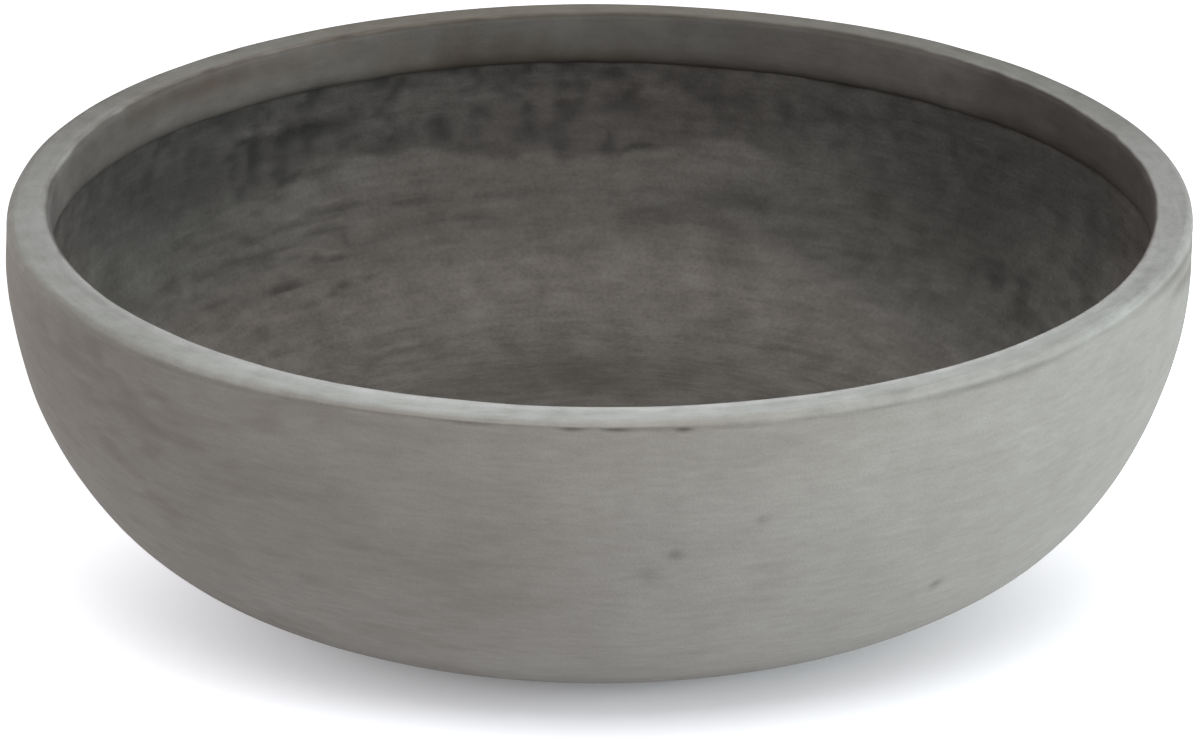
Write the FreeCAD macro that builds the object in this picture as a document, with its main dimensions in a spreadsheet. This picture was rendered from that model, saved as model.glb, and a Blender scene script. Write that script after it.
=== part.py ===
import FreeCAD, Part
import math
import os

import Sketcher

# Resin bowl planter: a moulded shell with a hand-laid lining, a rim ring bonded on its edge,
# a drain with a plug that lifts out, and four pads under the base.
# Millimetres, +Z up. The origin is on the floor, on the bowl's axis.

SIZES = {
    # Outside of the bowl: the height runs from the base to the rim's top, the turn is in degrees
    "bowl_diameter": 600,
    "bowl_height": 180,
    "base_diameter": 348,
    "hip_turn": 54,
    # Laminate
    "shell_wall": 5,
    "lining_wall": 5,
    # Rim ring: the joint with the shell shows outside, this far under the rim's top
    "rim_width": 20,
    "rim_depth": 28,
    "joint_drop": 7,
    "rim_edge_round": 5,
    "mouth_edge_round": 3.5,
    "collar_foot_round": 2,
    # Drain sleeve
    "drain_bore": 25,
    "sleeve_wall": 2.5,
    "sleeve_bond_gap": 0.2,
    "flange_width": 8,
    "flange_height": 2.5,
    "flange_edge_round": 1.2,
    # Drain plug
    "plug_clearance": 0.3,
    "plug_recess": 1.5,
    "plug_lead_in": 1,
    "rib_height": 0.7,
    "rib_half_width": 1.1,
    "head_overlap": 5.5,
    "head_height": 4,
    "head_edge_round": 1.5,
    "tab_width": 18,
    "tab_neck": 6,
    "tab_thickness": 5,
    "tab_edge_round": 1.2,
    # Foot pads
    "pad_diameter": 30,
    "pad_height": 2.5,
    "pad_inset": 23,
    "pad_edge_bevel": 0.6,
}
PAD_ANGLES = (45, 135, 225, 315)
# The most of a wall's thickness that a rounded edge on it may take up
ROUND_SHARE = 0.9
# The side that an arc bends to, seen along the outline
LEFT, RIGHT = 1, -1

doc = FreeCAD.newDocument("BowlPlanter")
sheet = doc.addObject("Spreadsheet::Sheet", "Sizes")
for row, (alias, value) in enumerate(SIZES.items(), 1):
    sheet.set(f"A{row}", alias)
    sheet.set(f"B{row}", str(value))
    sheet.setAlias(f"B{row}", alias)
doc.recompute()

# Lines and levels that more than one piece shares, as expressions on the sheet
OUTER = "(Sizes.bowl_diameter / 2)"
FLAT = "(Sizes.base_diameter / 2)"
TOP = "Sizes.bowl_height"
COLLAR_FOOT = "(Sizes.bowl_height - Sizes.rim_depth)"
JOINT = "(Sizes.bowl_height - Sizes.joint_drop)"
SHELL = "Sizes.shell_wall"
FLOOR = "(Sizes.shell_wall + Sizes.lining_wall)"
BORE = "(Sizes.drain_bore / 2)"
SLEEVE = f"({BORE} + Sizes.sleeve_wall)"
DRAIN_HOLE = f"({SLEEVE} + Sizes.sleeve_bond_gap)"
SEAT = f"({FLOOR} + Sizes.flange_height)"

# The wall is two arcs, tangent to the flat base, to each other and to the upright band behind the
# collar. Their radii follow from how far the wall spreads, how high it rises and where they meet.
SIN, COS = "sin(Sizes.hip_turn)", "cos(Sizes.hip_turn)"
SPREAD = f"({OUTER} - {FLAT})"
HIP_ARC = f"(({SPREAD} * {COS} - {COLLAR_FOOT} * (1 - {SIN})) / ({SIN} + {COS} - 1))"
WALL_ARC = f"(({COLLAR_FOOT} * {SIN} - {SPREAD} * (1 - {COS})) / ({SIN} + {COS} - 1))"


def number(text):
    """The value that an expression has on the sheet."""
    return float(sheet.evalExpression(text))


def bind(sketch, kind, places, name, text):
    """Adds one driving dimension to a sketch and ties it to the sheet."""
    index = sketch.addConstraint(Sketcher.Constraint(kind, *places, number(text)))
    sketch.renameConstraint(index, name)
    sketch.setExpression("Constraints." + name, text)


def new_sketch(body, name):
    """An empty sketch on the body's upright XZ plane."""
    sketch = body.newObject("Sketcher::SketchObject", name)
    plane = next(item for item in body.Origin.OriginFeatures if item.Role == "XZ_Plane")
    sketch.AttachmentSupport = [(plane, "")]
    sketch.MapMode = "FlatFace"
    return sketch


def arc_between(start, end, radius, side):
    """The arc of less than a half circle from start to end that bends to that side."""
    chord = end - start
    across = FreeCAD.Vector(-chord.y, chord.x, 0) * (side / chord.Length)
    reach = math.sqrt(max(radius**2 - chord.Length**2 / 4, 0))
    centre = (start + end) * 0.5 + across * reach
    first, last = (start, end) if side == LEFT else (end, start)
    begin = math.atan2(first.y - centre.y, first.x - centre.x)
    finish = math.atan2(last.y - centre.y, last.x - centre.x)
    circle = Part.Circle(centre, FreeCAD.Vector(0, 0, 1), radius)
    return Part.ArcOfCircle(circle, begin, finish if finish > begin else finish + 2 * math.pi)


def add_outline(sketch, corners):
    """A closed outline. A corner is (x, z), reached by a straight run, or (x, z, radius, side),
    reached by an arc that bends to that side."""
    points = [FreeCAD.Vector(number(corner[0]), number(corner[1]), 0) for corner in corners]
    runs = []
    for index, corner in enumerate(corners):
        start, end = points[index - 1], points[index]
        if len(corner) == 2:
            geometry = Part.LineSegment(start, end)
        else:
            geometry = arc_between(start, end, number(corner[2]), corner[3])
        # An arc's ends are counted anticlockwise, so one that bends to the right has them swapped
        ends = (2, 1) if len(corner) == 4 and corner[3] == RIGHT else (1, 2)
        runs.append((sketch.addGeometry(geometry), *ends))
    for index, corner in enumerate(corners):
        run, _, end = runs[index]
        following, start, _ = runs[(index + 1) % len(runs)]
        sketch.addConstraint(Sketcher.Constraint("Coincident", run, end, following, start))
        for kind, axis, text in zip(("DistanceX", "DistanceY"), (-2, -1), corner):
            if text == "0":
                sketch.addConstraint(Sketcher.Constraint("PointOnObject", run, end, axis))
            else:
                bind(sketch, kind, (-1, 1, run, end), f"{kind}_{index}", text)
        if len(corner) == 4:
            bind(sketch, "Radius", (run,), f"round_{index}", corner[2])


def turned_body(label, corners, lift):
    """A body turned about the upright axis from one outline, lifted to its level."""
    body = doc.addObject("PartDesign::Body", label)
    body.Label = label
    sketch = new_sketch(body, label + "_outline")
    add_outline(sketch, corners)
    turned = body.newObject("PartDesign::Revolution", label + "_turned")
    turned.Profile = sketch
    turned.ReferenceAxis = (sketch, ["V_Axis"])
    turned.Angle = 360
    body.setExpression("Placement.Base.z", lift)
    return body


def wall_outwards(inset):
    """The wall's curve from the base to the collar's foot, this far inside the bowl's outer face."""
    meet_x = f"{FLAT} + ({HIP_ARC} - {inset}) * {SIN}"
    meet_z = f"{HIP_ARC} - ({HIP_ARC} - {inset}) * {COS}"
    return [
        (FLAT, inset),
        (meet_x, meet_z, f"{HIP_ARC} - {inset}", LEFT),
        (f"{OUTER} - {inset}", COLLAR_FOOT, f"{WALL_ARC} - {inset}", LEFT),
    ]


def wall_inwards(inset):
    """The same curve, followed from the collar's foot down to the base."""
    base, meet, foot = wall_outwards(inset)
    return [foot[:2], (*meet[:2], foot[2], RIGHT), (*base, meet[2], RIGHT)]


def limited(round_size, wall):
    """A rounded edge's size, kept within its share of the wall that it is on."""
    return f"min(Sizes.{round_size}; {ROUND_SHARE} * {wall})"


def make_bowl_shell():
    """The moulded outside: flat base with the drain's hole, hip, wall and upright edge."""
    corners = [
        (DRAIN_HOLE, "0"),
        *wall_outwards("0"),
        (OUTER, JOINT),
        (f"{OUTER} - {SHELL}", JOINT),
        *wall_inwards(SHELL),
        (DRAIN_HOLE, SHELL),
    ]
    return turned_body("bowl_shell", corners, "Sizes.pad_height")


def make_fibre_lining():
    """The laminate laid against the shell's inside, up to the collar's foot."""
    corners = [
        (DRAIN_HOLE, SHELL),
        *wall_outwards(SHELL),
        *wall_inwards(FLOOR),
        (DRAIN_HOLE, FLOOR),
    ]
    return turned_body("fibre_lining", corners, "Sizes.pad_height")


def make_rim_ring():
    """The lip: a flat top over the shell's edge, and a collar hanging inside the mouth."""
    mouth = f"({OUTER} - Sizes.rim_width)"
    edge = limited("rim_edge_round", "Sizes.joint_drop")
    lip = limited("mouth_edge_round", "Sizes.rim_width / 2")
    foot = limited("collar_foot_round", "(Sizes.rim_width - Sizes.shell_wall)")
    corners = [
        (f"{OUTER} - {SHELL}", COLLAR_FOOT),
        (f"{OUTER} - {SHELL}", JOINT),
        (OUTER, JOINT),
        (OUTER, f"{TOP} - {edge}"),
        (f"{OUTER} - {edge}", TOP, edge, LEFT),
        (f"{mouth} + {lip}", TOP),
        (mouth, f"{TOP} - {lip}", lip, LEFT),
        (mouth, f"{COLLAR_FOOT} + {foot}"),
        (f"{mouth} + {foot}", COLLAR_FOOT, foot, LEFT),
    ]
    return turned_body("rim_ring", corners, "Sizes.pad_height")


def make_drain_sleeve():
    """The tube through the floor, flush under the base, with a flange on the lining."""
    flange = f"({SLEEVE} + Sizes.flange_width)"
    edge = limited("flange_edge_round", "Sizes.flange_height")
    corners = [
        (BORE, "0"),
        (SLEEVE, "0"),
        (SLEEVE, FLOOR),
        (flange, FLOOR),
        (flange, f"{SEAT} - {edge}"),
        (f"{flange} - {edge}", SEAT, edge, LEFT),
        (BORE, SEAT),
    ]
    return turned_body("drain_sleeve", corners, "Sizes.pad_height")


def make_drain_plug():
    """The bung: a stem with two sealing ribs, a head on the flange and a tab to pull it by."""
    crest = f"({BORE} - Sizes.plug_clearance)"
    stem = f"({crest} - Sizes.rib_height)"
    length = f"({SEAT} - Sizes.plug_recess)"
    head = f"({BORE} + Sizes.head_overlap)"
    crown = f"({length} + Sizes.head_height)"
    edge = limited("head_edge_round", "Sizes.head_height")
    half = "Sizes.rib_half_width"
    rib_arc = f"(({half}^2 + Sizes.rib_height^2) / (2 * Sizes.rib_height))"
    ribs = []
    for level in (f"{length} / 3", f"{length} * 2 / 3"):
        ribs += [(stem, f"{level} - {half}"), (stem, f"{level} + {half}", rib_arc, LEFT)]
    corners = [
        ("0", "0"),
        (f"{stem} - Sizes.plug_lead_in", "0"),
        (stem, "Sizes.plug_lead_in"),
        *ribs,
        (stem, length),
        (head, length),
        (head, f"{crown} - {edge}"),
        (f"{head} - {edge}", crown, edge, LEFT),
        ("0", crown),
    ]
    plug = turned_body("drain_plug", corners, "Sizes.pad_height + Sizes.plug_recess")
    add_pull_tab(plug, f"{crown} - Sizes.head_height / 2", f"{crown} + Sizes.tab_neck", crown)
    return plug


def add_pull_tab(plug, root, shoulder, crown):
    """A round-topped tab, rooted in the plug's head."""
    half = "(Sizes.tab_width / 2)"
    sketch = new_sketch(plug, "pull_tab_outline")
    corners = [
        (half, root),
        (half, shoulder),
        ("0", f"{shoulder} + {half}", half, LEFT),
        (f"-{half}", shoulder, half, LEFT),
        (f"-{half}", root),
    ]
    add_outline(sketch, corners)
    tab = plug.newObject("PartDesign::Pad", "pull_tab")
    tab.Profile = sketch
    tab.SideType = "Symmetric"
    tab.setExpression("Length", "Sizes.tab_thickness")
    doc.recompute()
    soft = plug.newObject("PartDesign::Fillet", "pull_tab_soft_edges")
    soft.Base = (tab, tab_rims(tab.Shape, number(crown), number("Sizes.tab_thickness / 2")))
    soft.setExpression("Radius", limited("tab_edge_round", "Sizes.tab_thickness / 2"))


def tab_rims(shape, crown, half_thickness):
    """The edges round both flat faces of the tab, above the head."""
    tolerance = 1e-4
    names = []
    for index, edge in enumerate(shape.Edges, 1):
        box = edge.BoundBox
        flat = box.YLength < tolerance and abs(abs(box.Center.y) - half_thickness) < tolerance
        if flat and box.ZMin > crown - tolerance and box.ZLength > tolerance:
            names.append(f"Edge{index}")
    return names


def make_foot_pad(label, angle):
    """A rubber disc stuck under the base, bevelled where it meets the floor."""
    edge = "Sizes.pad_diameter / 2"
    bevel = limited("pad_edge_bevel", "Sizes.pad_height")
    corners = [
        ("0", "0"),
        (f"{edge} - {bevel}", "0"),
        (edge, bevel),
        (edge, "Sizes.pad_height"),
        ("0", "Sizes.pad_height"),
    ]
    pad = turned_body(label, corners, "0")
    reach = f"({FLAT} - Sizes.pad_inset - {edge})"
    pad.setExpression("Placement.Base.x", f"{reach} * cos({angle})")
    pad.setExpression("Placement.Base.y", f"{reach} * sin({angle})")
    return pad


pieces = [make_bowl_shell(), make_fibre_lining(), make_rim_ring(), make_drain_sleeve(), make_drain_plug()]
pieces += [make_foot_pad(f"foot_pad_{count}", angle) for count, angle in enumerate(PAD_ANGLES, 1)]
doc.recompute()

for item in doc.Objects:
    if "Invalid" in item.State or "Error" in item.State:
        raise RuntimeError(f"{item.Label} did not build: {item.State}")
for piece in pieces:
    if piece.Shape.isNull() or not piece.Shape.isValid() or len(piece.Shape.Solids) != 1:
        raise RuntimeError(f"{piece.Label} is not one sound solid")

os.makedirs("parts", exist_ok=True)
for piece in pieces:
    piece.Shape.exportStep(f"parts/{piece.Label}.step")
    print(f"{piece.Label}: {piece.Shape.Volume / 1000:.1f} cm3, {piece.Shape.optimalBoundingBox()}")
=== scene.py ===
import math

import bpy
import numpy as np
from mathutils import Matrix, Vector


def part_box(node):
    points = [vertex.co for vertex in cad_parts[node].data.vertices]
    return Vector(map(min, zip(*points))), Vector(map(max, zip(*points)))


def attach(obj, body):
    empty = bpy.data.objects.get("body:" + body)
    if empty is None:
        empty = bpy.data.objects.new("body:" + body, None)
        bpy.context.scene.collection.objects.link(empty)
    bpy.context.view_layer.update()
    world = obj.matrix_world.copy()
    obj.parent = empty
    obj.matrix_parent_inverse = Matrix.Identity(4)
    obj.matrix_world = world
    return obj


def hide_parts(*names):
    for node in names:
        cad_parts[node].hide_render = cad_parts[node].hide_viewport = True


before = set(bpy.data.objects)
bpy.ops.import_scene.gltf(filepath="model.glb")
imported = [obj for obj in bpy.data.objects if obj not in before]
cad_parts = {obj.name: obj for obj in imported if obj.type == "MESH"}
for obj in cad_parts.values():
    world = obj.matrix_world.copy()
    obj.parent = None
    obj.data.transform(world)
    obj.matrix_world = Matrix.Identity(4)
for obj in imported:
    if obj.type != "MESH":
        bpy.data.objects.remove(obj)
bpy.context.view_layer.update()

# Resin bowl planter. Metres, +Z up, the origin on the floor on the bowl's axis, the camera on the -Y side.
# Angles on the bowl are in degrees anticlockwise from +X, seen from above, so its front is at -90.
MM = 0.001

# Levels and sizes that the frame gives
shell_low, shell_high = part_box("bowl_shell")
rim_low, rim_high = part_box("rim_ring")
lining_low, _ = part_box("fibre_lining")
BASE, JOINT = shell_low.z, shell_high.z
COLLAR_FOOT, TOP = rim_low.z, rim_high.z
OUTER = min(shell_high.x, shell_high.y, -shell_low.x, -shell_low.y)
SHELL_WALL = lining_low.z - BASE

# Sizes that a box can't give
BASE_FLAT = 174 * MM  # radius of the flat base
HIP_TURN = math.radians(54)  # how far the hip turns before the wall goes on
LINING_WALL = 5 * MM
RIM_WIDTH = 20 * MM
MOUTH = OUTER - RIM_WIDTH  # radius of the true mouth
FLOOR = BASE + SHELL_WALL + LINING_WALL
EDGE_ROUND, MOUTH_ROUND = 5 * MM, 3.5 * MM  # the lip's outer and inner edges
FOOT_DEEP, FOOT_TALL = 11 * MM, 9 * MM  # the curve that takes the collar's foot back into the lining
DRAIN_HOLE = 15.2 * MM  # radius of the hole that the sleeve fills
FLANGE_CLEAR = 30 * MM  # the lining stays flat this far out, for the sleeve's flange
JOINT_EDGE = 0.05 * MM  # the sharp edge of lip and shell at the joint
JOINT_SINK = 0.45 * MM  # how far both lie below the true face at the joint
GAPE_DEPTH, GAPE_WIDTH = 0.9 * MM, 1.2 * MM  # the open joint
SHELL_WAVE, SHELL_RIDGE, RIM_WAVE = 0.30 * MM, 0.05 * MM, 0.28 * MM  # unevenness of the outer skins
LEAN, LEAN_BELOW = 2.2 * MM, 22 * MM  # the left edge leans in, from that far below the joint
THICKEST, THICK_DOWN = 4.0, 42 * MM  # the lining's thickening under the collar in mm, and how far down it goes

# Points round each skin
SHELL_COLUMNS, RIM_COLUMNS, LINING_COLUMNS = 720, 1080, 600
# Patterns on the attribute wrap are this many times as long round the bowl as across
STROKE_STRETCH = 5
# Layout for baking: strips of a skin, the share of its width that a hidden row keeps, and the margin
BAKE_STRIPS, HIDDEN_SHARE, BAKE_MARGIN = 3, 0.12, 0.006

# Places round the bowl, each a bell curve: angle, width in degrees and height
# Climbs and drops of the joint
JOINT_RISES = [
    (-90, 22, 2.6 * MM), (-112, 14, 2.4 * MM), (-28, 10, 1.6 * MM), (-6, 10, -3.5 * MM), (-77, 6, -1.2 * MM)]
# Soft creases in the joint, how open from 0 to 1, and how much wider than a hairline
JOINT_CREASES = [(-18, 11, 0.78), (-54, 13, 0.6)]
CREASE_WIDTHS = [(-20, 16, 1.8), (-54, 13, 0.5)]
# Where the mouth was cut wide or narrow
MOUTH_SHIFTS = [(-44, 34, 2.8 * MM), (-160, 42, -3.2 * MM), (-104, 24, -2.1 * MM), (119, 22, -2.4 * MM)]
# How far the collar's foot hangs below its true level, and where it hangs further
FOOT_HANG, HANG_PLACES = 4.0 * MM, [(45, 40, 2.2 * MM)]
# Where the collar is paler, below zero, or darker
SHADE_PLACES = [(128, 52, -0.11), (106, 10, 0.05)]
# How far down the lip's outer edge is worn, where it is worn softly, and where less painted shade lies over the
# rounded edge
WORN_PLACES = [(-102, 14, -6.0 * MM), (-150, 10, -3.0 * MM)]
SOFT_PLACES = [(-102, 14, 3.0 * MM)]
EDGE_SHADE_DROPS = [(-32, 9, -0.35), (-130, 10, -0.45), (180, 16, -0.4)]
# Slow flats of the outer face, each with the level and the height of a bell curve upwards as well
SHELL_FLATS = [(191, 14, 1.1 * MM, 120 * MM, 22 * MM), (-15, 14, 1.0 * MM, 98 * MM, 38 * MM)]

# Random layers of the skins, each with its strength, length round the bowl, width along the outline and seed
SHELL_WAVES = [(1.0, 170 * MM, 70 * MM, 21), (0.35, 60 * MM, 18 * MM, 22)]
SHELL_RIDGES = [(1.0, 30 * MM, 6 * MM, 23)]
SHELL_FLECKS = [(1.0, 15 * MM, 5 * MM, 26), (0.8, 40 * MM, 18 * MM, 27)]
RIM_WAVES = [(1.0, 120 * MM, 25 * MM, 31), (0.5, 35 * MM, 9 * MM, 32)]
RIM_SMUDGES = [(0.9 * MM, 40 * MM, 30 * MM, 37), (0.6 * MM, 12 * MM, 20 * MM, 38)]  # how far its tints stray
COLLAR_MOTTLES = [(1.0, 26 * MM, 10 * MM, 39), (0.6, 11 * MM, 6 * MM, 40)]
LINING_LUMPS = [
    (0.5, 34 * MM, 20 * MM, 44), (0.5, 14 * MM, 11 * MM, 45),
    (0.55, 9 * MM, 26 * MM, 46), (0.6, 6.5 * MM, 6 * MM, 47)]
LINING_FRAYS = [(4 * MM, 30 * MM, 40 * MM, 49)]  # how far the dark edge under the collar strays
LINING_SWELLS = [(1.0, 130 * MM, 60 * MM, 50)]
LINING_ROUGHNESS = [(1.0, 30 * MM, 5.5 * MM, 51), (0.6, 14 * MM, 3.8 * MM, 52)]
LINING_PATCHES = [(1.0, 90 * MM, 45 * MM, 53)]
LINING_CRUMBS = [(1.0, 12 * MM, 9 * MM, 55), (0.6, 30 * MM, 22 * MM, 56)]
# Ripples that run round only, each with its strength in mm, length and seed
MOUTH_WOBBLES = [(0.3, 90 * MM, 33), (0.2, 40 * MM, 34)]
FOOT_WOBBLES = [(0.5, 60 * MM, 35), (0.3, 22 * MM, 36)]
BAND_STRAYS = [(3.5, 80 * MM, 41), (4.0, 26 * MM, 42), (2.0, 10 * MM, 43)]  # of the band's lower edge

# Marks left by hand, each an oval: angle on the bowl, place along the surface from where its list says, length
# round the bowl, width and depth. A depth below zero stands proud.
# Pits in the outer face, from the edge of the flat base
SHELL_PITS = [
    (-83.2, 178 * MM, 8 * MM, 6 * MM, 0.45 * MM),
    (-85.6, 167 * MM, 12 * MM, 9 * MM, 0.25 * MM),
    (-18, 231 * MM, 32 * MM, 6 * MM, 0.45 * MM),
    (-14, 228 * MM, 28 * MM, 6 * MM, 0.5 * MM),
    (-10, 224 * MM, 28 * MM, 7 * MM, 0.45 * MM),
    (-55, 129 * MM, 7 * MM, 7 * MM, 0.5 * MM),
    (-75.5, 194 * MM, 6 * MM, 5 * MM, 0.35 * MM),
    (-120, 196 * MM, 22 * MM, 6 * MM, 0.2 * MM),
    (-112, 172 * MM, 26 * MM, 5 * MM, 0.2 * MM),
    (-128, 90 * MM, 7 * MM, 6 * MM, 0.3 * MM),
    (-14, 150 * MM, 7 * MM, 6 * MM, 0.3 * MM),
    (35, 120 * MM, 9 * MM, 7 * MM, 0.45 * MM),
    (120, 70 * MM, 10 * MM, 8 * MM, 0.4 * MM),
    (165, 150 * MM, 7 * MM, 6 * MM, 0.45 * MM),
]
# Open dashes in the joint at the front: angle, length, how open from 0 to 1
JOINT_DASHES = [
    (-101.5, 20 * MM, 0.35), (-92.4, 11 * MM, 0.8), (-88.5, 14 * MM, 0.85),
    (-85.2, 16 * MM, 0.3), (-82.7, 7 * MM, 1.0),
]
# Nicks and scratches on the lip, from the joint
RIM_NICKS = [
    (-150, 19 * MM, 120 * MM, 3 * MM, 0.25 * MM),
    (-138, 11 * MM, 12 * MM, 5 * MM, 0.25 * MM),
    (-62, 9 * MM, 14 * MM, 6 * MM, 0.25 * MM),
    (-24, 15 * MM, 70 * MM, 3 * MM, 0.08 * MM),
    (48, 11 * MM, 16 * MM, 8 * MM, 0.3 * MM),
    (133, 10 * MM, 10 * MM, 6 * MM, 0.3 * MM),
    (165, 24 * MM, 30 * MM, 5 * MM, 0.2 * MM),
    (251, 27 * MM, 9 * MM, 5 * MM, 0.25 * MM),
]
# Brown stains on the lip and the collar, from the joint, with a strength for a depth
RIM_STAINS = [
    (145, 31 * MM, 150 * MM, 10 * MM, 0.35),
    (166, 38 * MM, 50 * MM, 18 * MM, 0.25),
    (130, 34 * MM, 60 * MM, 12 * MM, 0.2),
    (104, 48 * MM, 75 * MM, 27 * MM, 0.4),
    (90, 49 * MM, 90 * MM, 12 * MM, 0.45),
    (-108, 3 * MM, 110 * MM, 8 * MM, 0.45),
    (-80, 3 * MM, 100 * MM, 9 * MM, 0.3),
]
# The lining, from the collar's foot. A fold: a ridge and the pockets beside it
LINING_FOLD = [
    (132.3, 21.5 * MM, 24 * MM, 6 * MM, -2.0 * MM),
    (135, 26.5 * MM, 12 * MM, 8 * MM, -1.5 * MM),
    (124.5, 28 * MM, 56 * MM, 11 * MM, 2.0 * MM),
    (131.6, 34 * MM, 8 * MM, 17 * MM, 1.8 * MM),
    (134, 52 * MM, 12 * MM, 9 * MM, 1.2 * MM),
    (124.7, 51.5 * MM, 36 * MM, 5 * MM, 1.2 * MM),
    (129.2, 60.5 * MM, 16 * MM, 4 * MM, 1.3 * MM),
    (132.1, 65.5 * MM, 11 * MM, 6 * MM, 1.2 * MM),
    (131.8, 73 * MM, 6 * MM, 6 * MM, 0.8 * MM),
    (108, 36 * MM, 7 * MM, 20 * MM, 0.6 * MM),
    (98, 34 * MM, 8 * MM, 17 * MM, 1.2 * MM),
    (88, 31 * MM, 30 * MM, 10 * MM, 1.3 * MM),
]
# Cuts that the trowel left, each with a ridge pushed up above it
TROWEL_CUTS = [
    (127.8, 77 * MM, 18 * MM, 3.2 * MM, 0.7 * MM),
    (122.5, 73.5 * MM, 34 * MM, 2.6 * MM, 0.8 * MM),
    (124.4, 84 * MM, 28 * MM, 2.8 * MM, 1.0 * MM),
    (121.9, 89 * MM, 5 * MM, 13 * MM, 0.6 * MM),
    (119.2, 95 * MM, 28 * MM, 2.8 * MM, 0.7 * MM),
    (129.5, 94 * MM, 14 * MM, 3.2 * MM, 0.7 * MM),
    (126.5, 97.5 * MM, 10 * MM, 4 * MM, 0.7 * MM),
    (123.8, 100.5 * MM, 13 * MM, 3.2 * MM, 0.8 * MM),
    (131.6, 109 * MM, 30 * MM, 3.2 * MM, 1.2 * MM),
    (126, 119.2 * MM, 10 * MM, 3.4 * MM, 1.0 * MM),
    (124, 116.2 * MM, 10 * MM, 3.4 * MM, 1.0 * MM),
    (129.8, 121.6 * MM, 15 * MM, 3.2 * MM, 0.8 * MM),
    (120.4, 114.7 * MM, 9 * MM, 3 * MM, 0.6 * MM),
    (121.5, 165 * MM, 40 * MM, 3.2 * MM, 0.6 * MM),
    (119, 151 * MM, 36 * MM, 2.6 * MM, 0.7 * MM),
    (142.5, 104 * MM, 28 * MM, 2.6 * MM, 0.6 * MM),
    (138, 86 * MM, 26 * MM, 2.4 * MM, 0.6 * MM),
    (109, 90 * MM, 54 * MM, 2.5 * MM, 0.45 * MM),
    (102, 78 * MM, 40 * MM, 2.4 * MM, 0.35 * MM),
    (58, 165 * MM, 34 * MM, 3.2 * MM, 0.5 * MM),
    (64, 168 * MM, 20 * MM, 3.2 * MM, 0.4 * MM),
    (57, 85 * MM, 7 * MM, 6 * MM, 0.5 * MM),
    (44, 109 * MM, 9 * MM, 7 * MM, 0.5 * MM),
    (-60, 95 * MM, 42 * MM, 2.6 * MM, 0.7 * MM),
    (-66, 112 * MM, 36 * MM, 2.6 * MM, 0.6 * MM),
    (-105, 84 * MM, 40 * MM, 2.5 * MM, 0.7 * MM),
    (-150, 120 * MM, 42 * MM, 2.6 * MM, 0.6 * MM),
    (8, 96 * MM, 36 * MM, 2.6 * MM, 0.5 * MM),
]
# Dark stains, with a strength for a depth; the broad one at 43 degrees on the right wall is painted shade
LINING_STAINS_AND_SHADE = [
    (72, 80 * MM, 60 * MM, 10 * MM, 0.45),
    (82, 89 * MM, 60 * MM, 12 * MM, 0.4),
    (94, 222 * MM, 80 * MM, 60 * MM, 0.3),
    (147, 40 * MM, 110 * MM, 46 * MM, 0.4),
    # painted shade on the right wall
    (43, 68 * MM, 150 * MM, 54 * MM, 0.55),
    (138, 34 * MM, 100 * MM, 40 * MM, 0.2),
    (-40, 60 * MM, 120 * MM, 50 * MM, 0.4),
    (-120, 70 * MM, 150 * MM, 50 * MM, 0.35),
]


# Shapes

def wall_line(inset, hip_rows, wall_rows):
    """Radius and level along the wall, from the flat base to the collar's foot, inset from the outer face.
    Two arcs: the hip turns by HIP_TURN from level, the wall turns on from there to upright."""
    spread, rise = OUTER - BASE_FLAT, COLLAR_FOOT - BASE
    sine, cosine = math.sin(HIP_TURN), math.cos(HIP_TURN)
    hip = (spread * cosine - rise * (1 - sine)) / (sine + cosine - 1)
    wall = (rise * sine - spread * (1 - cosine)) / (sine + cosine - 1)
    low = np.linspace(0, HIP_TURN, hip_rows)
    high = np.linspace(HIP_TURN, math.pi / 2, wall_rows + 1)[1:]
    hip_r, hip_z = BASE_FLAT + (hip - inset) * np.sin(low), BASE + hip - (hip - inset) * np.cos(low)
    wall_r, wall_z = OUTER - wall + (wall - inset) * np.sin(high), COLLAR_FOOT - (wall - inset) * np.cos(high)
    return np.concatenate([hip_r, wall_r]), np.concatenate([hip_z, wall_z])


def quarter_round(centre_r, centre_z, deep, tall, start, rows):
    """A quarter of an oval that deep and tall, anticlockwise from the start angle in degrees, without its ends."""
    turn = np.radians(start + 90 * (np.arange(rows) + 0.5) / rows)
    return centre_r + deep * np.cos(turn), centre_z + tall * np.sin(turn)


def outline(*stretches):
    """Joins stretches of (radius, level), each a number or an array, into the rows of one closed outline."""
    pairs = [np.broadcast_arrays(np.atleast_1d(radius), level) for radius, level in stretches]
    return np.concatenate([radius for radius, _ in pairs]), np.concatenate([level for _, level in pairs])


def path_length(radius, level):
    """Length along the outline up to each row."""
    return np.concatenate([[0], np.cumsum(np.hypot(np.diff(radius), np.diff(level)))])


def moved_out(radius, level, distance):
    """Moves each row of an anticlockwise outline along its outward normal, the tangent turned to the right, by
    a distance over (row, column)."""
    run = np.roll(radius, -1) - np.roll(radius, 1)
    rise = np.roll(level, -1) - np.roll(level, 1)
    length = np.hypot(run, rise)
    out_r, out_z = (rise / length)[:, None], (-run / length)[:, None]
    return radius[:, None] + distance * out_r, level[:, None] + distance * out_z


def ease(part):
    """0 to 1 with level ends: 3 t^2 - 2 t^3."""
    return part * part * (3 - 2 * part)


def ramp(value, start, end):
    """0 before start, 1 after end, eased between."""
    return ease(np.clip((value - start) / (end - start), 0, 1))


def bell(value, middle, width):
    """A bell curve: 1 at the middle, about a third one width away."""
    return np.exp(-(((value - middle) / width) ** 2))


def angles(columns):
    """Angles of the columns round the bowl, in radians."""
    return np.linspace(0, 2 * math.pi, columns, endpoint=False)


def swing(angle, degrees):
    """Degrees round from a place on the bowl, from -180 to 180."""
    return np.degrees(np.angle(np.exp(1j * (angle - math.radians(degrees)))))


def around(angle, place, width):
    """A bell curve round the bowl, about a place and that wide, in degrees."""
    return bell(swing(angle, place), 0, width)


def humps(angle, places):
    """The sum of a list of bell curves round the bowl, each (angle, width, height)."""
    return sum(height * around(angle, place, width) for place, width, height in places)


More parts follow.
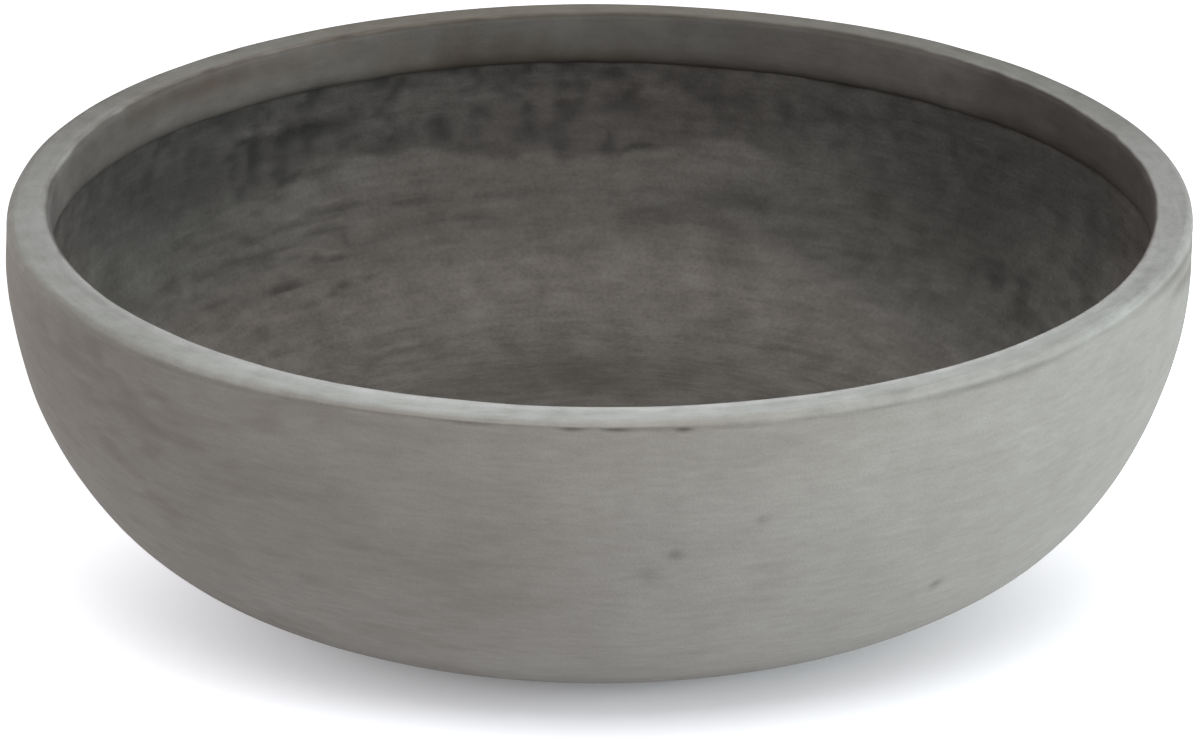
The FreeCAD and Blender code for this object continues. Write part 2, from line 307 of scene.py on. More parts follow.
def strokes(angle, along, length, width, seed):
    """Random heights from -1 to 1 that close round the bowl. Rows lie one width apart along the outline, each
    with its own ring of random values one length apart, turned at random, and both ways are eased between."""
    random = np.random.default_rng(seed)
    cells = max(3, round(2 * math.pi * OUTER / length))
    rows = int(along.max() / width) + 2
    values, turned = random.uniform(-1, 1, (rows, cells)), random.uniform(0, cells, rows)
    row = np.floor(along / width).astype(int)
    between = ease(along / width - row)
    total = 0
    for ring, share in ((row, 1 - between), (row + 1, between)):
        cell = angle[None, :] / (2 * math.pi) * cells + turned[ring][:, None]
        first = np.floor(cell).astype(int)
        part = ease(cell - first)
        ends = values[ring[:, None], first % cells], values[ring[:, None], (first + 1) % cells]
        total = total + share[:, None] * (ends[0] * (1 - part) + ends[1] * part)
    return total


def layered(angle, along, layers):
    """The sum of a list of random layers over (row, column), each (strength, length, width, seed)."""
    return sum(strength * strokes(angle, along, *layer) for strength, *layer in layers)


def ripple(angle, length, seed):
    """Random values from -1 to 1 round the bowl, one length apart, eased between."""
    return strokes(angle, np.zeros(1), length, 1.0, seed)[0]


def rippled(angle, ripples):
    """The sum of a list of ripples round the bowl, each (strength, length, seed)."""
    return sum(strength * ripple(angle, length, seed) for strength, length, seed in ripples)


def dents(angle, radius, along, marks):
    """The marks of a list, each an oval bell curve, as depths over (row, column)."""
    total = np.zeros((along.size, angle.size))
    for place, distance, length, width, depth in marks:
        sideways = radius[:, None] * np.radians(swing(angle, place)) / (length / 2)
        total += depth * bell(np.hypot(sideways, (along[:, None] - distance) / (width / 2)), 0, 1)
    return total


def turned_piece(name, radius, level, along, hidden, marks):
    """A closed surface turned about the axis, from radius and level over (row, column): columns go round, and
    the last row joins the first. The attribute wrap is the place in plan, drawn STROKE_STRETCH times smaller, then
    the length along the outline, so that patterns on it run in long strokes round the bowl. Each of the marks is an
    attribute over (row, column). The layout for baking cuts the surface into strips, one above the other, with the
    rows that are out of sight drawn narrow."""
    rows, columns = radius.shape
    angle = angles(columns)[None, :]
    points = np.stack([radius * np.cos(angle), radius * np.sin(angle), level], axis=-1)
    here = np.arange(rows * columns).reshape(rows, columns)
    above = np.roll(here, -1, axis=0)
    faces = np.stack([here, np.roll(here, -1, axis=1), np.roll(above, -1, axis=1), above], axis=-1)
    mesh = bpy.data.meshes.new(name)
    mesh.vertices.add(rows * columns)
    mesh.vertices.foreach_set("co", points.ravel())
    mesh.loops.add(faces.size)
    mesh.loops.foreach_set("vertex_index", faces.ravel().astype(np.int32))
    mesh.polygons.add(rows * columns)
    mesh.polygons.foreach_set("loop_start", np.arange(0, faces.size, 4, dtype=np.int32))
    mesh.update(calc_edges=True)
    mesh.shade_smooth()

    circle = radius / STROKE_STRETCH
    wrap = np.stack(np.broadcast_arrays(circle * np.cos(angle), circle * np.sin(angle), along[:, None]), axis=-1)
    mesh.attributes.new("wrap", "FLOAT_VECTOR", "POINT").data.foreach_set("vector", wrap.ravel())
    for mark, strength in marks.items():
        values = np.clip(np.broadcast_to(strength, radius.shape), 0, 1)
        mesh.attributes.new(mark, "FLOAT", "POINT").data.foreach_set("value", values.ravel())

    per_strip, room = columns // BAKE_STRIPS, 1 - 2 * BAKE_MARGIN
    column = np.arange(columns)
    steps = np.append(np.diff(along), math.hypot(*(points[0, 0] - points[-1, 0])))
    steps *= np.where(hidden, HIDDEN_SHARE, 1.0)
    ends = np.concatenate([[0], np.cumsum(steps)]) / steps.sum()
    across = (column % per_strip)[:, None] + np.array([0, 1, 1, 0])
    up = np.stack([ends[:-1], ends[:-1], ends[1:], ends[1:]], axis=-1)
    sheet_u = BAKE_MARGIN + room * across / per_strip
    sheet_v = ((column // per_strip)[None, :, None] + BAKE_MARGIN + room * up[:, None, :]) / BAKE_STRIPS
    layout = np.stack(np.broadcast_arrays(sheet_u[None, :, :], sheet_v), axis=-1)
    mesh.uv_layers.new(name="OFBake").data.foreach_set("uv", layout.ravel())

    piece = bpy.data.objects.new(name, mesh)
    bpy.context.scene.collection.objects.link(piece)
    return piece


def joint_rise(angle):
    """How far the joint line strays from level: it climbs at the front, most at the front left, and at the front
    right, and drops at the right."""
    return 0.2 * MM + humps(angle, JOINT_RISES) + 0.35 * MM * ripple(angle, 70 * MM, 11)


def joint_gape(angle):
    """Depth of the open joint, 0 to 1: dashes at the front, a soft crease to the right, elsewhere filled flush but
    for short stretches at the back."""
    dashes = humps(angle, [
        (place, math.degrees(length / 2 / OUTER), share) for place, length, share in JOINT_DASHES])
    crease = humps(angle, JOINT_CREASES) * (0.75 + 0.25 * ripple(angle, 35 * MM, 13))
    back = 0.6 * ramp(ripple(angle, 60 * MM, 14), 0.1, 0.7) * ramp(np.abs(swing(angle, -100)), 95, 120)
    return np.clip(dashes + crease + back, 0, 1)


def gape_width(angle):
    """How wide the joint opens on the skin: a hairline, but broad and soft at the right."""
    return GAPE_WIDTH * (1 + humps(angle, CREASE_WIDTHS))


def mouth_shift(angle):
    """How far the mouth's edge lies outside its true circle: cut by hand, wide at the front right, narrow at the
    front left and the far left."""
    return (rippled(angle, MOUTH_WOBBLES) - 1.3) * MM + humps(angle, MOUTH_SHIFTS)


def lean(angle, level):
    """How far the top of the wall leans in over (row, column): only at the left, from below the joint up."""
    return LEAN * around(angle, 178, 15) * ramp(level, JOINT - LEAN_BELOW, TOP)[:, None]


def make_shell():
    """The moulded shell: underside, hip and wall, its edge at the joint, and its plain inner face out of sight.
    The outer face sinks by slow waves, soft ridges and pits. It comes flush with the lip at the joint, except where
    the joint gapes."""
    angle = angles(SHELL_COLUMNS)
    under = np.linspace(DRAIN_HOLE, BASE_FLAT, 12)[:-1]
    out_r, out_z = wall_line(0, 50, 51)
    band = np.linspace(COLLAR_FOOT, JOINT - 2.4 * MM, 8)[1:]
    in_r, in_z = wall_line(SHELL_WALL, 4, 4)
    lip = JOINT - np.array([1.6, 1.0, 0.5, JOINT_EDGE / MM]) * MM
    radius, level = outline(
        (under, BASE), (out_r, out_z), (OUTER, band), (OUTER, lip), (OUTER, JOINT), (OUTER - SHELL_WALL, JOINT),
        (in_r[::-1], in_z[::-1]), (DRAIN_HOLE, BASE + SHELL_WALL))
    along = path_length(radius, level)
    row = np.arange(radius.size)
    first, corner = len(under), len(under) + len(out_r) + len(band) + len(lip)
    outside = ramp(along - along[first], 0, 20 * MM) * (row < corner)
    waves, ridges = layered(angle, along, SHELL_WAVES), layered(angle, along, SHELL_RIDGES)
    flecks = layered(angle, along, SHELL_FLECKS)
    # Painted shade just under the lip at the front; it joins the flecks in the mark below
    shade = around(angle, -82, 14) * ramp(level, JOINT - 40 * MM, JOINT - 5 * MM)[:, None]
    pits = dents(angle, radius, along - along[first], SHELL_PITS)
    flats = sum(depth * around(angle, place, width) * bell(level, middle, height)[:, None]
                for place, width, depth, middle, height in SHELL_FLATS)
    sink = SHELL_WAVE * (1.35 + waves) + SHELL_RIDGE * (1 + ridges) + flats + pits
    flush = ramp(level, JOINT - 12 * MM, JOINT - 1 * MM)[:, None]
    gape = bell(level[:, None], JOINT, gape_width(angle)) * joint_gape(angle) * (row < corner)[:, None]
    sink += (JOINT_SINK - sink) * flush + GAPE_DEPTH * gape
    full_r, full_z = moved_out(radius, level, -sink * outside[:, None])
    full_r -= lean(angle, level) * outside[:, None]
    full_z += ramp(level, JOINT - 14 * MM, JOINT - 2 * MM)[:, None] * joint_rise(angle)
    full_r[corner] = full_r[corner - 1]
    marks = {
        # painted shade in the pits and in the open joint
        "hollow_shade": pits / MM + 0.8 * gape,
        # random flecks, heavier at the front left, with the painted shade under the lip at the front
        "fleck_and_shade": ramp(flecks, -0.2, 1.3) * (0.2 + 0.65 * around(angle, -134, 26)) + 0.5 * shade,
    }
    return turned_piece("bowl_shell_skin", full_r, full_z, along, row > corner, marks)


def make_rim():
    """The lip ring: outer face up from the joint, rounded edge, flat top, rounded mouth, collar and foot.
    The skin sinks by slow waves and nicks, the mouth strays from its circle, and the left edge leans in. The foot
    hangs a little, most at the far right, and curves back into the lining."""
    angle = angles(RIM_COLUMNS)
    back = OUTER - SHELL_WALL
    radius, level = outline(
        (OUTER, JOINT), (OUTER, JOINT + np.array([JOINT_EDGE / MM, 0.5, 1.0, 1.5]) * MM),
        (OUTER, TOP - EDGE_ROUND),
        quarter_round(OUTER - EDGE_ROUND, TOP - EDGE_ROUND, EDGE_ROUND, EDGE_ROUND, 0, 9),
        (np.linspace(OUTER - EDGE_ROUND, MOUTH + MOUTH_ROUND, 9), TOP),
        quarter_round(MOUTH + MOUTH_ROUND, TOP - MOUTH_ROUND, MOUTH_ROUND, MOUTH_ROUND, 90, 8),
        (MOUTH, np.linspace(TOP - MOUTH_ROUND, COLLAR_FOOT + FOOT_TALL, 11)),
        quarter_round(MOUTH + FOOT_DEEP, COLLAR_FOOT + FOOT_TALL, FOOT_DEEP, FOOT_TALL, 180, 9),
        (np.linspace(MOUTH + FOOT_DEEP, back, 5), COLLAR_FOOT), (back, np.linspace(COLLAR_FOOT, JOINT, 3)[1:]))
    along = path_length(radius, level)
    row = np.arange(radius.size)
    below_top = TOP - level
    outer = (radius > (OUTER + MOUTH) / 2) & (row < radius.size / 2)
    rounding = np.where(level > (TOP + COLLAR_FOOT) / 2, MOUTH_ROUND, FOOT_DEEP)
    inner = (radius < MOUTH + rounding + 0.1 * MM) & (row < radius.size - 2)

    nicks = dents(angle, radius, along, RIM_NICKS)
    sink = RIM_WAVE * (1.5 + layered(angle, along, RIM_WAVES)) + nicks
    flush = (outer * (1 - ramp(level, JOINT + 1 * MM, TOP - 2 * MM)))[:, None]
    gape = outer[:, None] * bell(level[:, None], JOINT, gape_width(angle)) * joint_gape(angle)
    sink += (JOINT_SINK - sink) * flush + GAPE_DEPTH * gape
    full_r, full_z = moved_out(radius, level, -sink)

    to_mouth = ramp(OUTER - radius, 6 * MM, RIM_WIDTH) * (row < radius.size - 2)
    full_r += to_mouth[:, None] * mouth_shift(angle)
    full_r -= (ramp(radius, MOUTH, OUTER - 4 * MM) * (row < radius.size / 2))[:, None] * lean(angle, level)
    foot_wobble = np.abs(rippled(angle, FOOT_WOBBLES)) * MM
    near_foot = inner * (1 - ramp(level, COLLAR_FOOT + 1 * MM, COLLAR_FOOT + 12 * MM))
    full_z += near_foot[:, None] * (foot_wobble - FOOT_HANG - humps(angle, HANG_PLACES))
    near_joint = (1 - ramp(level, JOINT, TOP)) * (radius > back - 0.1 * MM) * (level > JOINT - 0.1 * MM)
    full_z += near_joint[:, None] * joint_rise(angle)
    full_r[0], full_z[0] = full_r[1], JOINT + joint_rise(angle)

    smudge = layered(angle, along, RIM_SMUDGES)
    past_edge = (np.clip(radius - (OUTER - 9 * MM), 0, None) + below_top)[:, None] + smudge
    past_mouth = (np.clip(MOUTH + MOUTH_ROUND - radius, 0, None) + below_top)[:, None] + smudge
    worn_to, soft = 12.5 * MM + humps(angle, WORN_PLACES), 1.5 * MM + humps(angle, SOFT_PLACES)
    # The share of the outer face's darkening that starts on the rounded outer edge: painted shade that dims its
    # highlight
    edge_shade_share = 0.9 + humps(angle, EDGE_SHADE_DROPS)
    ends = around(angle, 0, 24) + 0.6 * around(angle, 180, 24)
    far = around(angle, 88, 45)
    # Painted shade: the collar's tint is at its deepest at the right end
    right_end_shade = 1 - ramp(np.abs(swing(angle, 18)), 18, 32)
    mottled = 0.03 * layered(angle, along, COLLAR_MOTTLES)
    shaded = 0.835 + 0.16 * right_end_shade + humps(angle, SHADE_PLACES) + mottled
    browned = 0.5 * around(angle, 120, 48) * inner[:, None]
    marks = {
        # painted shade in the nicks and in the open joint
        "hollow_shade": nicks / MM + 0.8 * gape,
        # The outer face keeps its darker moulded colour below the worn edge, and painted shade dims the rounded
        # outer edge
        "outer_face_and_shade": outer[:, None] * (
            edge_shade_share * ramp(past_edge, 2 * MM, 9 * MM)
            + (1 - edge_shade_share) * ramp(past_edge, worn_to - soft, worn_to + soft)),
        # Painted highlight: the lip's top and outside are darkened but for a strip along the mouth's edge, which
        # fades out at the far side; the darkening is weaker at the left end and none at the right end
        "flat": ramp(radius[:, None] - MOUTH, (4 - 8 * far) * MM, (9 - 8 * far) * MM) * (1 - ends),
        # Painted shade, a little warmer, on the far side of the lip's top and outer face
        "far_side_shade": (row < radius.size / 2)[:, None] * around(angle, 95, 42),
        # The collar's own darker colour, with painted shade at the right end, and at the far side it reaches over
        # the mouth's rounded edge as painted shade that takes out its highlight
        "collar": inner[:, None] * ramp(past_mouth, (0.3 - 1.5 * far) * MM, 3.5 * MM) * shaded,
        "stain": (dents(angle, radius, along, RIM_STAINS) + browned) * (1 + 0.3 * smudge / MM),
    }
    return turned_piece("rim_ring_skin", full_r, full_z, along, row >= radius.size - 5, marks)


def make_lining():
    """The hand-laid lining. It thickens towards the collar, and under the collar lies a band of soft lumps, runs and
    pockets with a ragged rolled edge. Below it the wall has cuts and ridges that a trowel left, which run round, and
    the floor is smoother. Its marks paint shade into low places, under the band's edge, in the fold's pockets, under
    the collar and on the upper walls, darken blotches on the right wall, and paint a pool of light on the far hip
    and the floor."""
    angle = angles(LINING_COLUMNS)
    under = np.linspace(DRAIN_HOLE, BASE_FLAT, 5)[:-1]
    back_r, back_z = wall_line(SHELL_WALL, 4, 4)
    front_r, front_z = wall_line(SHELL_WALL + LINING_WALL, 60, 76)
    floor = np.linspace(BASE_FLAT, DRAIN_HOLE, 13)[1:]
    radius, level = outline(
        (under, BASE + SHELL_WALL), (back_r, back_z), (front_r[::-1], front_z[::-1]), (floor, FLOOR))
    along = path_length(radius, level)
    row = np.arange(radius.size)
    first = len(under) + len(back_r)
    depth = np.clip(along - along[first], 0, None)
    down = depth[:, None]

    edge = (50 - 6 * around(angle, 113, 7) + 4 * around(angle, 90, 8) + rippled(angle, BAND_STRAYS)) * MM
    calm = around(angle, 25, 38)
    clear_edge = 1 - ramp(np.abs(swing(angle, 100)), 30, 55) + 0.6 * ramp(ripple(angle, 90 * MM, 54), 0, 0.8)
    clear_edge = np.clip(clear_edge - calm, 0, 1)
    past_edge = down - edge
    spread = (5 + 25 * (1 - clear_edge)) * MM
    band = 1 - ramp(past_edge, -spread, spread)
    lumps = layered(angle, depth, LINING_LUMPS) * (1.1 - 0.75 * calm - 0.45 * around(angle, 152, 24))
    fold = dents(angle, radius, depth, LINING_FOLD) / MM
    under_edge = bell(past_edge, 2 * MM, 2.6 * MM) * ramp(ripple(angle, 20 * MM, 48), -0.1, 0.9) * clear_edge
    frayed = down + layered(angle, depth, LINING_FRAYS)
    under_collar, thick = 1 - ramp(frayed, 4 * MM, 20 * MM), 1 - ramp(down, 0, THICK_DOWN)

    swell, rough = layered(angle, depth, LINING_SWELLS), layered(angle, depth, LINING_ROUGHNESS)
    crumbs = ramp(layered(angle, depth, LINING_CRUMBS), -0.2, 1.1)
    crumbs *= around(angle, 30, 24) * bell(down, 82 * MM, 42 * MM)
    patches = ramp(layered(angle, depth, LINING_PATCHES), -0.4, 0.6)
    patches *= ramp(radius, 130 * MM, 250 * MM)[:, None]
    worked = around(angle, 128, 15) * bell(down, 96 * MM, 38 * MM)
    cuts = dents(angle, radius, depth, TROWEL_CUTS) / MM
    pushed_up = dents(angle, radius, depth + 4.5 * MM, TROWEL_CUTS) / MM
    height = (0.8 * swell + band * (1.0 + 0.9 * lumps) - fold - 0.7 * under_edge
              + (THICKEST - 0.5 * mouth_shift(angle) / MM) * thick
              + (1 - band) * ((0.3 * patches + 0.5 * worked) * rough + 1.0 * pushed_up - cuts))
    inside = (row >= first) * ramp(radius, FLANGE_CLEAR, FLANGE_CLEAR + 25 * MM)
    full_r, full_z = moved_out(radius, level, height * MM * inside[:, None])
    full_r[first], full_z[first] = full_r[first + 1], COLLAR_FOOT

    scored = cuts + (0.4 * patches + 0.5 * worked) * ramp(-rough, 0.1, 1.1)
    low = band * ramp(-lumps, -0.4, 1.1) + (1 - band) * scored
    sides, right = ramp(np.abs(swing(angle, 100)), 10, 50), around(angle, 35, 28)
    ends, clear_right = ramp(np.abs(swing(angle, 90)), 68, 84), ramp(-swing(angle, 98), 0, 25)
    # Painted light: a pool of light on the hip, strongest at the far middle, and a lighter floor
    light_pool = (bell(down, 140 * MM, 32 * MM) * (0.5 + 0.5 * around(angle, 92, 27))
            + 0.55 * ramp(down, 150 * MM, 200 * MM))
    # Painted shade under the collar's overhang, less at the sides and at the right
    shade_under_collar = (0.62 - 0.3 * sides) * (1 - 0.75 * clear_right) * under_collar
    marks = {
        "band": band,
        # Painted shade on the upper walls, weaker at the far middle and near the left and right ends, fading out
        # lower down, and lighter on the ridges that the trowel pushed up
        "wall": (0.45 + 0.55 * sides) * (1 - ramp(down, (75 + 25 * right) * MM, (125 + 60 * right) * MM))
                * (1 - 0.8 * ends) * (1 - 0.7 * np.clip(pushed_up, 0, 1)),
        # the lining is darkened everywhere outside the painted pool of light
        "outside_light_pool": 1 - light_pool,
        # painted shade in low places, under the band's edge, under the collar and in the fold's pockets, with dark
        # blotches on the right wall
        "hollow_shade": 0.65 * low + 0.75 * under_edge + 0.5 * crumbs + shade_under_collar + 0.45 * np.clip(fold, 0, 2),
        # stains, with painted shade on the right wall
        "stain": dents(angle, radius, depth, LINING_STAINS_AND_SHADE),
    }
    return turned_piece("fibre_lining_skin", full_r, full_z, along, row < first, marks)


# Finishes

# How much of its noise a pattern keeps from one scale to the next finer one
NOISE_KEPT = 0.6
# How far roughness runs with the tone
ROUGHNESS_RUN = 0.25


def linear(code):
    """An sRGB hex colour as linear RGBA."""
    part = np.array([int(code[place:place + 2], 16) for place in (1, 3, 5)]) / 255
    part = np.where(part <= 0.04045, part / 12.92, ((part + 0.055) / 1.055) ** 2.4)
    return (*part, 1.0)


def add(tree, kind, inputs=(), **settings):
    """Adds a node: settings are its properties, inputs its sockets with the value or the output that each takes."""
    node = tree.nodes.new(kind)
    for name, value in settings.items():
        setattr(node, name, value)
    for socket, value in dict(inputs).items():
        if isinstance(value, bpy.types.NodeSocket):
            tree.links.new(value, node.inputs[socket])
        else:
            node.inputs[socket].default_value = value
    return node


def finish(name, layers, shades, roughness, relief, tints=()):
    """A finish built up in layers, each (coordinates, size, detail, share of the tone, share of the relief): noise
    with features of that size, counted from its middle. The tone runs through the shades, pairs of place and hex
    colour. Each tint multiplies it where the piece has the mark of that name. Relief is the bump's depth."""
    material = bpy.data.materials.new(name)
    material.use_nodes = True
    tree = material.node_tree
    shader = tree.nodes["Principled BSDF"]
    coordinates = {
        "place": add(tree, "ShaderNodeTexCoord").outputs["Object"],
        "wrap": add(tree, "ShaderNodeAttribute", attribute_name="wrap").outputs["Vector"],
    }
    tone, height = 0.5, 0.5
    for kind, size, detail, in_tone, in_relief in layers:
        sockets = {"Vector": coordinates[kind], "Scale": 1 / size, "Detail": detail, "Roughness": NOISE_KEPT}
        pattern = add(tree, "ShaderNodeTexNoise", sockets).outputs[0]
        centred = add(tree, "ShaderNodeMath", {0: pattern, 1: 0.5}, operation="SUBTRACT").outputs[0]
        tone = add(
            tree, "ShaderNodeMath", {0: centred, 1: in_tone, 2: tone}, operation="MULTIPLY_ADD").outputs[0]
        height = add(
            tree, "ShaderNodeMath", {0: centred, 1: in_relief, 2: height}, operation="MULTIPLY_ADD").outputs[0]
    scale = add(tree, "ShaderNodeValToRGB", {"Fac": tone})
    stops = scale.color_ramp.elements
    while len(stops) < len(shades):
        stops.new(0.5)
    for stop, (position, code) in zip(stops, shades):
        stop.position, stop.color = position, linear(code)
    colour = scale.outputs["Color"]
    for mark, code in tints:
        where = add(tree, "ShaderNodeAttribute", attribute_name=mark).outputs["Fac"]
        sockets = {0: where, 6: colour, 7: linear(code)}
        colour = add(tree, "ShaderNodeMix", sockets, data_type="RGBA", blend_type="MULTIPLY").outputs[2]
    sockets = {0: tone, 1: ROUGHNESS_RUN, 2: roughness - ROUGHNESS_RUN / 2}
    matt = add(tree, "ShaderNodeMath", sockets, operation="MULTIPLY_ADD").outputs[0]
    bump = add(tree, "ShaderNodeBump", {"Strength": 1.0, "Distance": relief, "Height": height}).outputs[0]
    tree.links.new(colour, shader.inputs["Base Color"])
    tree.links.new(matt, shader.inputs["Roughness"])
    tree.links.new(bump, shader.inputs["Normal"])
    return material


# Stone-filled resin, wiped by hand while it set: soft level clouds and flecks, a sandy grain, no shine. Its tints
# also paint shade in the pits, in the open joint and just under the lip at the front
BRUSHED_RESIN = finish(
    "stone_resin_brushed",
    [("place", 150 * MM, 3, 0.26, 0.0), ("place", 30 * MM, 4, 0.26, 0.2), ("wrap", 7 * MM, 4, 0.24, 0.4),
     ("wrap", 2.8 * MM, 3, 0.34, 0.5), ("place", 1.3 * MM, 2, 0.24, 0.35)],
    [(0.2, "#7f7b76"), (0.5, "#928f8a"), (0.8, "#a3a19c")], 0.82, 0.35 * MM,
    [("fleck_and_shade", "#e9e6e3"), ("hollow_shade", "#8d857e")])

# The same resin rubbed down on the lip: pale and close-grained on top, left as moulded outside and on the collar.
# Its tints also paint shade over the rounded outer edge, on the far side of the lip, in nicks and the open joint,
# at the collar's right end and over the far side of the mouth's edge, and leave a painted highlight along the mouth
RUBBED_RESIN = finish(
    "stone_resin_rubbed",
    [("place", 60 * MM, 3, 0.55, 0.0), ("place", 14 * MM, 4, 0.70, 0.3), ("wrap", 3 * MM, 4, 0.55, 0.5),
     ("place", 1.2 * MM, 2, 0.30, 0.4)],
    [(0.2, "#a2a2a0"), (0.5, "#b5b6b4"), (0.8, "#c4c5c4")], 0.75, 0.4 * MM,
    [("flat", "#ebece9"), ("outer_face_and_shade", "#dbd6d3"), ("collar", "#67605d"), ("stain", "#b5a08a"),
     ("far_side_shade", "#f6efe6"), ("hollow_shade", "#8d857e")])

# Glass fibre laid by hand in dark resin and trowelled: blotched and dry, darker in the rough band. Its tints also
# paint shade in low places, under the collar and on the upper walls, and a pool of light on the far hip and floor
LAID_LAMINATE = finish(
    "fibre_laminate_trowelled",
    [("place", 75 * MM, 3, 0.40, 0.0), ("place", 20 * MM, 4, 0.80, 0.5), ("wrap", 5 * MM, 4, 0.70, 0.7),
     ("place", 2.2 * MM, 3, 0.60, 0.6)],
    [(0.2, "#77716b"), (0.5, "#8c8680"), (0.8, "#9f9993")], 0.85, 0.8 * MM,
    [("outside_light_pool", "#e2e2e2"), ("wall", "#d3d9da"), ("band", "#d2d1d3"), ("stain", "#a4a5a5"), ("hollow_shade", "#9da0a1")])

# Moulded polypropylene: an even fine grain from the mould, a low sheen
SLEEVE_PLASTIC = finish(
    "polypropylene_moulded", [("place", 9 * MM, 3, 0.7, 0.0), ("place", 0.8 * MM, 2, 0.3, 1.0)],
    [(0.2, "#2b2b2b"), (0.8, "#3d3d3b")], 0.5, 0.1 * MM)

# Moulded rubber: near black, with a grey bloom and a matt grain
PLUG_RUBBER = finish(
    "rubber_moulded_plug", [("place", 8 * MM, 3, 0.8, 0.0), ("place", 0.6 * MM, 2, 0.3, 1.0)],
    [(0.2, "#191918"), (0.8, "#2c2b2a")], 0.7, 0.1 * MM)
PAD_RUBBER = finish(
    "rubber_moulded_pad", [("place", 8 * MM, 3, 0.8, 0.0), ("place", 0.7 * MM, 2, 0.3, 1.0)],
    [(0.2, "#151515"), (0.8, "#272625")], 0.75, 0.1 * MM)


# The dressed bowl

for skin, node, slot, material in [
        (make_shell(), "bowl_shell", "moulded_resin", BRUSHED_RESIN),
        (make_rim(), "rim_ring", "rim_resin", RUBBED_RESIN),
        (make_lining(), "fibre_lining", "laid_laminate", LAID_LAMINATE)]:
    skin.data.materials.append(material)
    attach(skin, "bowl")
    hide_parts(node)

solid_finishes = {"drain_sleeve": SLEEVE_PLASTIC, "drain_plug": PLUG_RUBBER}
solid_finishes.update({f"foot_pad_{count}": PAD_RUBBER for count in range(1, 5)})
for node, material in solid_finishes.items():
    for material_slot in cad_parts[node].material_slots:
        material_slot.material = material


# Studio

# The floor's half width, and its paper
FLOOR_HALF, PAPER = 6.0, "#f0f0f3"
# The floor's glow, painted light, lies outside an oval shifted to the front, so the oval paints the shadow's reach
# and shape: how the oval is scaled and moved, where the glow starts and is full, its strength inside, and its
# linear colour
GLOW_SHARES, GLOW_SHIFT = (0.656, 1, 1), (-0.011, 0.116, 0)
GLOW_STARTS, GLOW_FULL, GLOW_NEAR = 0.058, 0.216, 0.02
GLOW_COLOUR = (0.95, 0.96, 1.0, 1)
# The world is brighter low down than overhead: its colour, both strengths, and where one fades to the other
LIGHT_COLOUR, LIGHT_LOW, LIGHT_OVERHEAD = "#fff0e6", 0.63, 0.10
FADE_STARTS, FADE_ENDS = 0.1, 0.65


def make_floor():
    """A white sheet. It shows the bowl's shadow near the bowl, and glows to full white in the camera further out.
    The glow is painted light, and its oval sets how far the shadow reaches.
    """
    low, high = -FLOOR_HALF, FLOOR_HALF
    mesh = bpy.data.meshes.new("studio_floor")
    mesh.from_pydata([(low, low, 0), (high, low, 0), (high, high, 0), (low, high, 0)], [], [(0, 1, 2, 3)])
    floor = bpy.data.objects.new("studio_floor", mesh)
    bpy.context.scene.collection.objects.link(floor)
    material = bpy.data.materials.new("studio_paper")
    material.use_nodes = True
    tree = material.node_tree
    tree.nodes.clear()
    place = add(tree, "ShaderNodeTexCoord").outputs["Object"]
    sockets = {0: place, 1: GLOW_SHARES, 2: GLOW_SHIFT}
    oval = add(tree, "ShaderNodeVectorMath", sockets, operation="MULTIPLY_ADD").outputs[0]
    reach = add(tree, "ShaderNodeVectorMath", {0: oval}, operation="LENGTH").outputs["Value"]
    spread = add(tree, "ShaderNodeMapRange", {
        "Value": reach, "From Min": GLOW_STARTS, "From Max": GLOW_FULL,
        "To Min": GLOW_NEAR, "To Max": 1.0}).outputs[0]
    ray = add(tree, "ShaderNodeLightPath").outputs
    sockets = {0: ray["Is Camera Ray"], 1: ray["Is Glossy Ray"]}
    seen = add(tree, "ShaderNodeMath", sockets, operation="MAXIMUM").outputs[0]
    strength = add(tree, "ShaderNodeMath", {0: spread, 1: seen}, operation="MULTIPLY").outputs[0]
    paper = add(tree, "ShaderNodeBsdfDiffuse", {"Color": linear(PAPER)}).outputs[0]
    glow = add(tree, "ShaderNodeEmission", {"Color": GLOW_COLOUR, "Strength": strength}).outputs[0]
    both = add(tree, "ShaderNodeAddShader", {0: paper, 1: glow}).outputs[0]
    add(tree, "ShaderNodeOutputMaterial", {"Surface": both})
    mesh.materials.append(material)


def add_lamp(name, place, size, watts, code, aim):
    """A square soft lamp at a place, with that size, power and sRGB colour, turned towards a point."""
    data = bpy.data.lights.new(name, "AREA")
    data.size, data.energy, data.color = size, watts, linear(code)[:3]
    lamp = bpy.data.objects.new(name, data)
    lamp.location = place
    lamp.rotation_euler = (Vector(aim) - Vector(place)).to_track_quat("-Z", "Y").to_euler()
    bpy.context.scene.collection.objects.link(lamp)


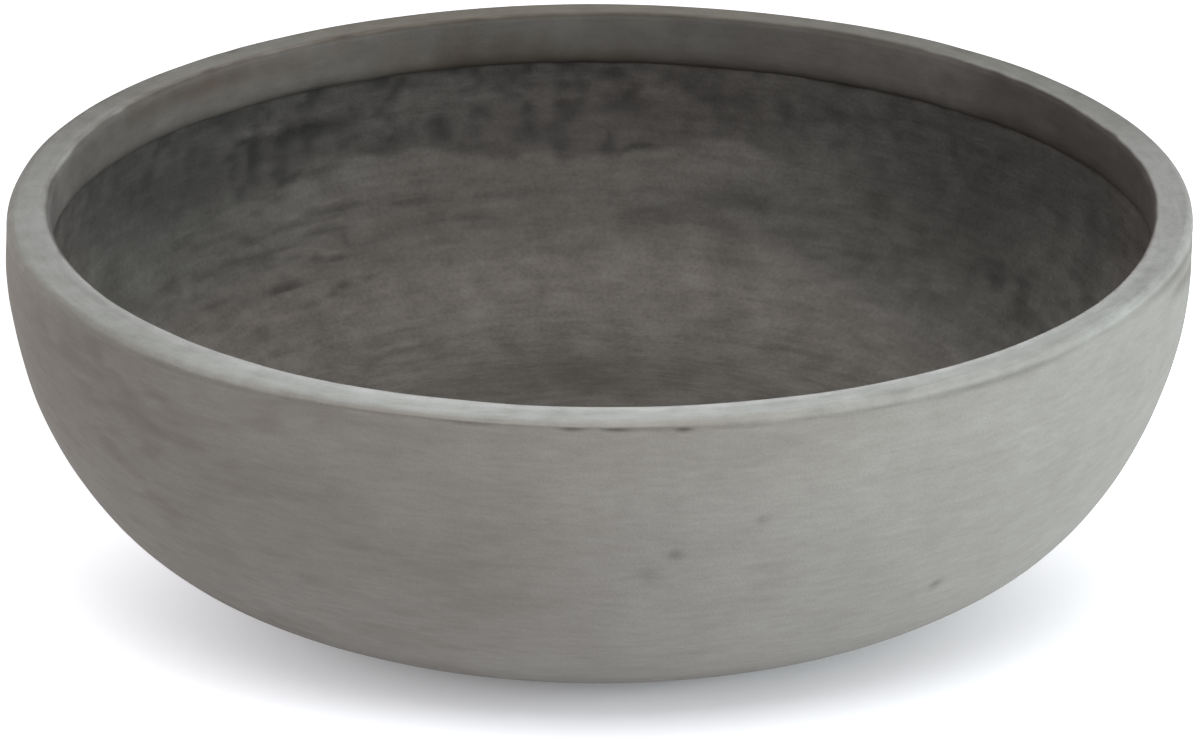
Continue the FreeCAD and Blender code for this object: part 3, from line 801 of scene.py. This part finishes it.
make_floor()
add_lamp("lamp_low_right", (1.92, -0.58, 0.34), 0.6, 29, "#eefcff", (0, 0, 0.1))
add_lamp("lamp_over_front", (0.03, -0.50, 0.75), 0.5, 4.6, "#f8fcff", (0, -0.05, 0.1))
add_lamp("lamp_low_left", (-1.75, 0.85, 0.26), 0.5, 7, "#fdf9f4", (0, 0, 0.1))

world = bpy.data.worlds.new("studio_light")
world.use_nodes = True
sky = world.node_tree
toward = add(sky, "ShaderNodeTexCoord").outputs["Generated"]
rise = add(sky, "ShaderNodeSeparateXYZ", {"Vector": toward}).outputs["Z"]
fade = add(sky, "ShaderNodeMapRange", {
    "Value": rise, "From Min": FADE_STARTS, "From Max": FADE_ENDS,
    "To Min": LIGHT_LOW, "To Max": LIGHT_OVERHEAD}).outputs[0]
background = sky.nodes["Background"]
background.inputs["Color"].default_value = linear(LIGHT_COLOUR)
sky.links.new(fade, background.inputs["Strength"])
bpy.context.scene.world = world

# Camera at the photograph's viewing angle, with the bowl's middle on its pixel there
VIEW_TARGET = Vector((0, 0, BASE + 90 * MM))
VIEW_DISTANCE = 2.6
VIEW_ELEVATION = math.radians(22.44)
LENS_PIXELS, SENSOR_WIDTH = 5070, 36
IMAGE_SIZE = (1200, 749)
TARGET_PIXEL = (598.4, 353.6)

ahead = Vector((0, math.cos(VIEW_ELEVATION), -math.sin(VIEW_ELEVATION)))
upward = Vector((0, math.sin(VIEW_ELEVATION), math.cos(VIEW_ELEVATION)))
pixel = VIEW_DISTANCE / LENS_PIXELS
aim = VIEW_TARGET + Vector(((IMAGE_SIZE[0] / 2 - TARGET_PIXEL[0]) * pixel, 0, 0))
aim -= upward * (IMAGE_SIZE[1] / 2 - TARGET_PIXEL[1]) * pixel
camera_data = bpy.data.cameras.new("camera")
camera_data.sensor_width = SENSOR_WIDTH
camera_data.lens = LENS_PIXELS * SENSOR_WIDTH / IMAGE_SIZE[0]
camera = bpy.data.objects.new("camera", camera_data)
camera.location = VIEW_TARGET - ahead * VIEW_DISTANCE
camera.rotation_euler = (aim - camera.location).to_track_quat("-Z", "Y").to_euler()
bpy.context.scene.collection.objects.link(camera)
bpy.context.scene.camera = camera

bpy.context.scene.view_settings.view_transform = "Standard"
